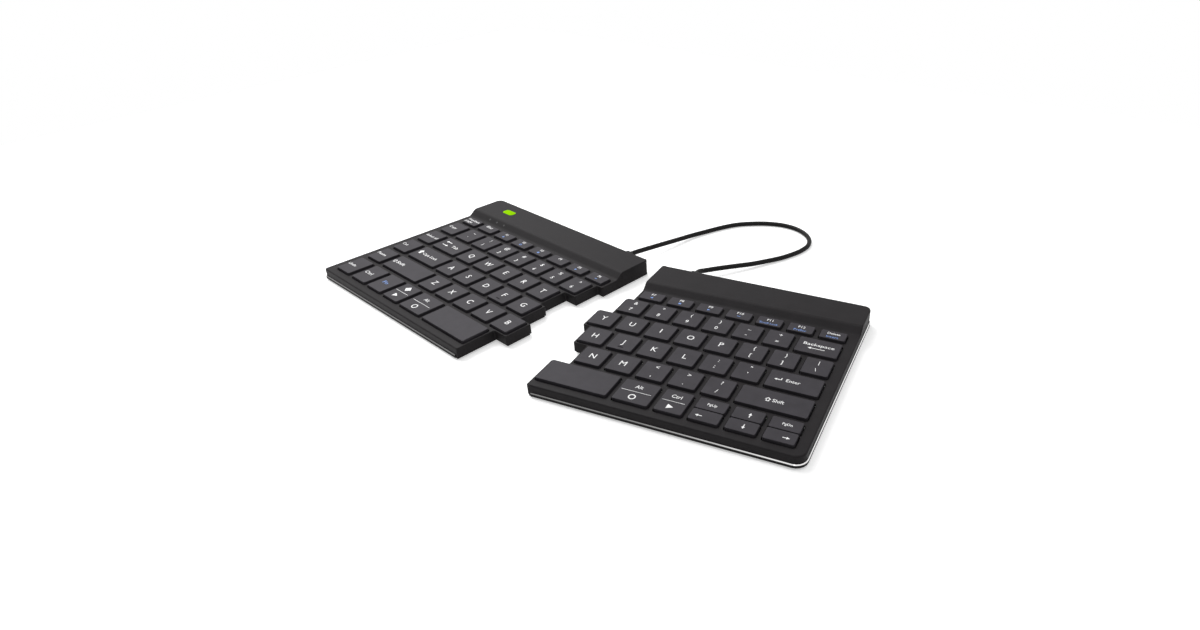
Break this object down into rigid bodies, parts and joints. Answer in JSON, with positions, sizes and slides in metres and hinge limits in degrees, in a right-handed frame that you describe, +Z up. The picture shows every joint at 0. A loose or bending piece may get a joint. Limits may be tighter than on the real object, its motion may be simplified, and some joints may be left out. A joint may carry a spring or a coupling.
{
  "type": "split keyboard",
  "caption": "Low ergonomic keyboard in two dark halves with raised rear bars, stepped inner edges, scissor keys and a looped link cable, splayed on a desk.",
  "frame": {"origin": "on the desk, under the middle of the two halves' joint footprint", "axes": "+X towards the right half, +Y away from the typist, towards the rear bars, +Z up"},
  "size_m": [0.3596, 0.2673, 0.012],
  "materials": {
    "case_plastic": "fine matte",
    "cap_plastic": "fine matte",
    "polished_trim": "polished",
    "base_plastic": "matte",
    "foot_rubber": "matte",
    "screw_steel": "satin",
    "plate_steel": "satin",
    "contact_film": "smooth",
    "dome_rubber": "matte",
    "lever_plastic": "satin",
    "board_laminate": "smooth",
    "grommet_rubber": "matte",
    "cable_sheath": "satin",
    "battery_foil": "satin",
    "socket_steel": "satin",
    "switch_plastic": "matte",
    "green_lens": "gloss",
    "window_plastic": "gloss"
  },
  "bodies": {
    "right_half": {"right_top_case": "case_plastic", "right_trim_band": "polished_trim", "right_base_plate": "base_plastic", "right_feet": "foot_rubber", "right_screws": "screw_steel", "right_switch_plate": "plate_steel", "right_membrane": "contact_film", "right_rubber_domes": "dome_rubber", "right_scissor_levers": "lever_plastic", "right_circuit_board": "board_laminate", "right_cable_grommet": "grommet_rubber", "link_cable": "cable_sheath"},
    "left_half": {"left_top_case": "case_plastic", "left_trim_band": "polished_trim", "left_base_plate": "base_plastic", "left_feet": "foot_rubber", "left_screws": "screw_steel", "left_switch_plate": "plate_steel", "left_membrane": "contact_film", "left_rubber_domes": "dome_rubber", "left_scissor_levers": "lever_plastic", "left_circuit_board": "board_laminate", "left_cable_grommet": "grommet_rubber", "battery": "battery_foil", "charging_socket": "socket_steel", "lamp_lens": "green_lens", "status_windows": "window_plastic"},
    "power_switch": {"power_switch": "switch_plastic"},
    "left_shortcut_keys": {"left_shortcut_keys": "cap_plastic"},
    "left_function_keys": {"left_function_keys": "cap_plastic"},
    "left_number_keys": {"left_number_keys": "cap_plastic"},
    "tab_key": {"tab_key": "cap_plastic"},
    "left_upper_letter_keys": {"left_upper_letter_keys": "cap_plastic"},
    "caps_lock_key": {"caps_lock_key": "cap_plastic"},
    "left_home_letter_keys": {"left_home_letter_keys": "cap_plastic"},
    "left_shift_key": {"left_shift_key": "cap_plastic"},
    "left_lower_letter_keys": {"left_lower_letter_keys": "cap_plastic"},
    "left_ctrl_key": {"left_ctrl_key": "cap_plastic"},
    "fn_key": {"fn_key": "cap_plastic"},
    "left_system_key": {"left_system_key": "cap_plastic"},
    "left_alt_key": {"left_alt_key": "cap_plastic"},
    "left_space_key": {"left_space_key": "cap_plastic"},
    "right_function_keys": {"right_function_keys": "cap_plastic"},
    "right_number_keys": {"right_number_keys": "cap_plastic"},
    "backspace_key": {"backspace_key": "cap_plastic"},
    "right_upper_letter_keys": {"right_upper_letter_keys": "cap_plastic"},
    "backslash_key": {"backslash_key": "cap_plastic"},
    "right_home_letter_keys": {"right_home_letter_keys": "cap_plastic"},
    "enter_key": {"enter_key": "cap_plastic"},
    "right_lower_letter_keys": {"right_lower_letter_keys": "cap_plastic"},
    "right_shift_key": {"right_shift_key": "cap_plastic"},
    "right_space_key": {"right_space_key": "cap_plastic"},
    "right_alt_key": {"right_alt_key": "cap_plastic"},
    "right_ctrl_key": {"right_ctrl_key": "cap_plastic"},
    "page_up_key": {"page_up_key": "cap_plastic"},
    "left_arrow_key": {"left_arrow_key": "cap_plastic"},
    "up_arrow_key": {"up_arrow_key": "cap_plastic"},
    "down_arrow_key": {"down_arrow_key": "cap_plastic"},
    "page_down_key": {"page_down_key": "cap_plastic"},
    "right_arrow_key": {"right_arrow_key": "cap_plastic"}
  },
  "joints": [
    {"name": "halves_swing", "type": "hinge", "parent": "right_half", "child": "left_half", "pos_m": [0.01456, 0.10086, 0], "axis": [0, 0, 1], "range_deg": [-12, 17.4], "deforming": ["link_cable"]},
    {"name": "power_switch_slide", "type": "slide", "parent": "left_half", "child": "power_switch", "axis": [0.9885, -0.1513, 0], "range_m": [0, 0.002]},
    {"name": "left_shortcut_keys_press", "type": "slide", "parent": "left_half", "child": "left_shortcut_keys", "axis": [0, 0, -1], "range_m": [0, 0.0018], "stiffness_N_per_m": 1500, "springref_m": -0.001, "deforming": ["left_rubber_domes", "left_scissor_levers"]},
    {"name": "left_function_keys_press", "type": "slide", "parent": "left_half", "child": "left_function_keys", "axis": [0, 0, -1], "range_m": [0, 0.0018], "stiffness_N_per_m": 1750, "springref_m": -0.001, "deforming": ["left_rubber_domes", "left_scissor_levers"]},
    {"name": "left_number_keys_press", "type": "slide", "parent": "left_half", "child": "left_number_keys", "axis": [0, 0, -1], "range_m": [0, 0.0018], "stiffness_N_per_m": 1750, "springref_m": -0.001, "deforming": ["left_rubber_domes", "left_scissor_levers"]},
    {"name": "tab_key_press", "type": "slide", "parent": "left_half", "child": "tab_key", "axis": [0, 0, -1], "range_m": [0, 0.0018], "stiffness_N_per_m": 250, "springref_m": -0.001, "deforming": ["left_rubber_domes", "left_scissor_levers"]},
    {"name": "left_upper_letter_keys_press", "type": "slide", "parent": "left_half", "child": "left_upper_letter_keys", "axis": [0, 0, -1], "range_m": [0, 0.0018], "stiffness_N_per_m": 1250, "springref_m": -0.001, "deforming": ["left_rubber_domes", "left_scissor_levers"]},
    {"name": "caps_lock_key_press", "type": "slide", "parent": "left_half", "child": "caps_lock_key", "axis": [0, 0, -1], "range_m": [0, 0.0018], "stiffness_N_per_m": 250, "springref_m": -0.001, "deforming": ["left_rubber_domes", "left_scissor_levers"]},
    {"name": "left_home_letter_keys_press", "type": "slide", "parent": "left_half", "child": "left_home_letter_keys", "axis": [0, 0, -1], "range_m": [0, 0.0018], "stiffness_N_per_m": 1250, "springref_m": -0.001, "deforming": ["left_rubber_domes", "left_scissor_levers"]},
    {"name": "left_shift_key_press", "type": "slide", "parent": "left_half", "child": "left_shift_key", "axis": [0, 0, -1], "range_m": [0, 0.0018], "stiffness_N_per_m": 250, "springref_m": -0.001, "deforming": ["left_rubber_domes", "left_scissor_levers"]},
    {"name": "left_lower_letter_keys_press", "type": "slide", "parent": "left_half", "child": "left_lower_letter_keys", "axis": [0, 0, -1], "range_m": [0, 0.0018], "stiffness_N_per_m": 1250, "springref_m": -0.001, "deforming": ["left_rubber_domes", "left_scissor_levers"]},
    {"name": "left_ctrl_key_press", "type": "slide", "parent": "left_half", "child": "left_ctrl_key", "axis": [0, 0, -1], "range_m": [0, 0.0018], "stiffness_N_per_m": 250, "springref_m": -0.001, "deforming": ["left_rubber_domes", "left_scissor_levers"]},
    {"name": "fn_key_press", "type": "slide", "parent": "left_half", "child": "fn_key", "axis": [0, 0, -1], "range_m": [0, 0.0018], "stiffness_N_per_m": 250, "springref_m": -0.001, "deforming": ["left_rubber_domes", "left_scissor_levers"]},
    {"name": "left_system_key_press", "type": "slide", "parent": "left_half", "child": "left_system_key", "axis": [0, 0, -1], "range_m": [0, 0.0018], "stiffness_N_per_m": 250, "springref_m": -0.001, "deforming": ["left_rubber_domes", "left_scissor_levers"]},
    {"name": "left_alt_key_press", "type": "slide", "parent": "left_half", "child": "left_alt_key", "axis": [0, 0, -1], "range_m": [0, 0.0018], "stiffness_N_per_m": 250, "springref_m": -0.001, "deforming": ["left_rubber_domes", "left_scissor_levers"]},
    {"name": "left_space_key_press", "type": "slide", "parent": "left_half", "child": "left_space_key", "axis": [0, 0, -1], "range_m": [0, 0.0018], "stiffness_N_per_m": 250, "springref_m": -0.001, "deforming": ["left_rubber_domes", "left_scissor_levers"]},
    {"name": "right_function_keys_press", "type": "slide", "parent": "right_half", "child": "right_function_keys", "axis": [0, 0, -1], "range_m": [0, 0.0018], "stiffness_N_per_m": 1750, "springref_m": -0.001, "deforming": ["right_rubber_domes", "right_scissor_levers"]},
    {"name": "right_number_keys_press", "type": "slide", "parent": "right_half", "child": "right_number_keys", "axis": [0, 0, -1], "range_m": [0, 0.0018], "stiffness_N_per_m": 1500, "springref_m": -0.001, "deforming": ["right_rubber_domes", "right_scissor_levers"]},
    {"name": "backspace_key_press", "type": "slide", "parent": "right_half", "child": "backspace_key", "axis": [0, 0, -1], "range_m": [0, 0.0018], "stiffness_N_per_m": 250, "springref_m": -0.001, "deforming": ["right_rubber_domes", "right_scissor_levers"]},
    {"name": "right_upper_letter_keys_press", "type": "slide", "parent": "right_half", "child": "right_upper_letter_keys", "axis": [0, 0, -1], "range_m": [0, 0.0018], "stiffness_N_per_m": 1750, "springref_m": -0.001, "deforming": ["right_rubber_domes", "right_scissor_levers"]},
    {"name": "backslash_key_press", "type": "slide", "parent": "right_half", "child": "backslash_key", "axis": [0, 0, -1], "range_m": [0, 0.0018], "stiffness_N_per_m": 250, "springref_m": -0.001, "deforming": ["right_rubber_domes", "right_scissor_levers"]},
    {"name": "right_home_letter_keys_press", "type": "slide", "parent": "right_half", "child": "right_home_letter_keys", "axis": [0, 0, -1], "range_m": [0, 0.0018], "stiffness_N_per_m": 1500, "springref_m": -0.001, "deforming": ["right_rubber_domes", "right_scissor_levers"]},
    {"name": "enter_key_press", "type": "slide", "parent": "right_half", "child": "enter_key", "axis": [0, 0, -1], "range_m": [0, 0.0018], "stiffness_N_per_m": 250, "springref_m": -0.001, "deforming": ["right_rubber_domes", "right_scissor_levers"]},
    {"name": "right_lower_letter_keys_press", "type": "slide", "parent": "right_half", "child": "right_lower_letter_keys", "axis": [0, 0, -1], "range_m": [0, 0.0018], "stiffness_N_per_m": 1250, "springref_m": -0.001, "deforming": ["right_rubber_domes", "right_scissor_levers"]},
    {"name": "right_shift_key_press", "type": "slide", "parent": "right_half", "child": "right_shift_key", "axis": [0, 0, -1], "range_m": [0, 0.0018], "stiffness_N_per_m": 250, "springref_m": -0.001, "deforming": ["right_rubber_domes", "right_scissor_levers"]},
    {"name": "right_space_key_press", "type": "slide", "parent": "right_half", "child": "right_space_key", "axis": [0, 0, -1], "range_m": [0, 0.0018], "stiffness_N_per_m": 250, "springref_m": -0.001, "deforming": ["right_rubber_domes", "right_scissor_levers"]},
    {"name": "right_alt_key_press", "type": "slide", "parent": "right_half", "child": "right_alt_key", "axis": [0, 0, -1], "range_m": [0, 0.0018], "stiffness_N_per_m": 250, "springref_m": -0.001, "deforming": ["right_rubber_domes", "right_scissor_levers"]},
    {"name": "right_ctrl_key_press", "type": "slide", "parent": "right_half", "child": "right_ctrl_key", "axis": [0, 0, -1], "range_m": [0, 0.0018], "stiffness_N_per_m": 250, "springref_m": -0.001, "deforming": ["right_rubber_domes", "right_scissor_levers"]},
    {"name": "page_up_key_press", "type": "slide", "parent": "right_half", "child": "page_up_key", "axis": [0, 0, -1], "range_m": [0, 0.0018], "stiffness_N_per_m": 250, "springref_m": -0.001, "deforming": ["right_rubber_domes", "right_scissor_levers"]},
    {"name": "left_arrow_key_press", "type": "slide", "parent": "right_half", "child": "left_arrow_key", "axis": [0, 0, -1], "range_m": [0, 0.0018], "stiffness_N_per_m": 250, "springref_m": -0.001, "deforming": ["right_rubber_domes", "right_scissor_levers"]},
    {"name": "up_arrow_key_press", "type": "slide", "parent": "right_half", "child": "up_arrow_key", "axis": [0, 0, -1], "range_m": [0, 0.0018], "stiffness_N_per_m": 250, "springref_m": -0.001, "deforming": ["right_rubber_domes", "right_scissor_levers"]},
    {"name": "down_arrow_key_press", "type": "slide", "parent": "right_half", "child": "down_arrow_key", "axis": [0, 0, -1], "range_m": [0, 0.0018], "stiffness_N_per_m": 250, "springref_m": -0.001, "deforming": ["right_rubber_domes", "right_scissor_levers"]},
    {"name": "page_down_key_press", "type": "slide", "parent": "right_half", "child": "page_down_key", "axis": [0, 0, -1], "range_m": [0, 0.0018], "stiffness_N_per_m": 250, "springref_m": -0.001, "deforming": ["right_rubber_domes", "right_scissor_levers"]},
    {"name": "right_arrow_key_press", "type": "slide", "parent": "right_half", "child": "right_arrow_key", "axis": [0, 0, -1], "range_m": [0, 0.0018], "stiffness_N_per_m": 250, "springref_m": -0.001, "deforming": ["right_rubber_domes", "right_scissor_levers"]}
  ]
}
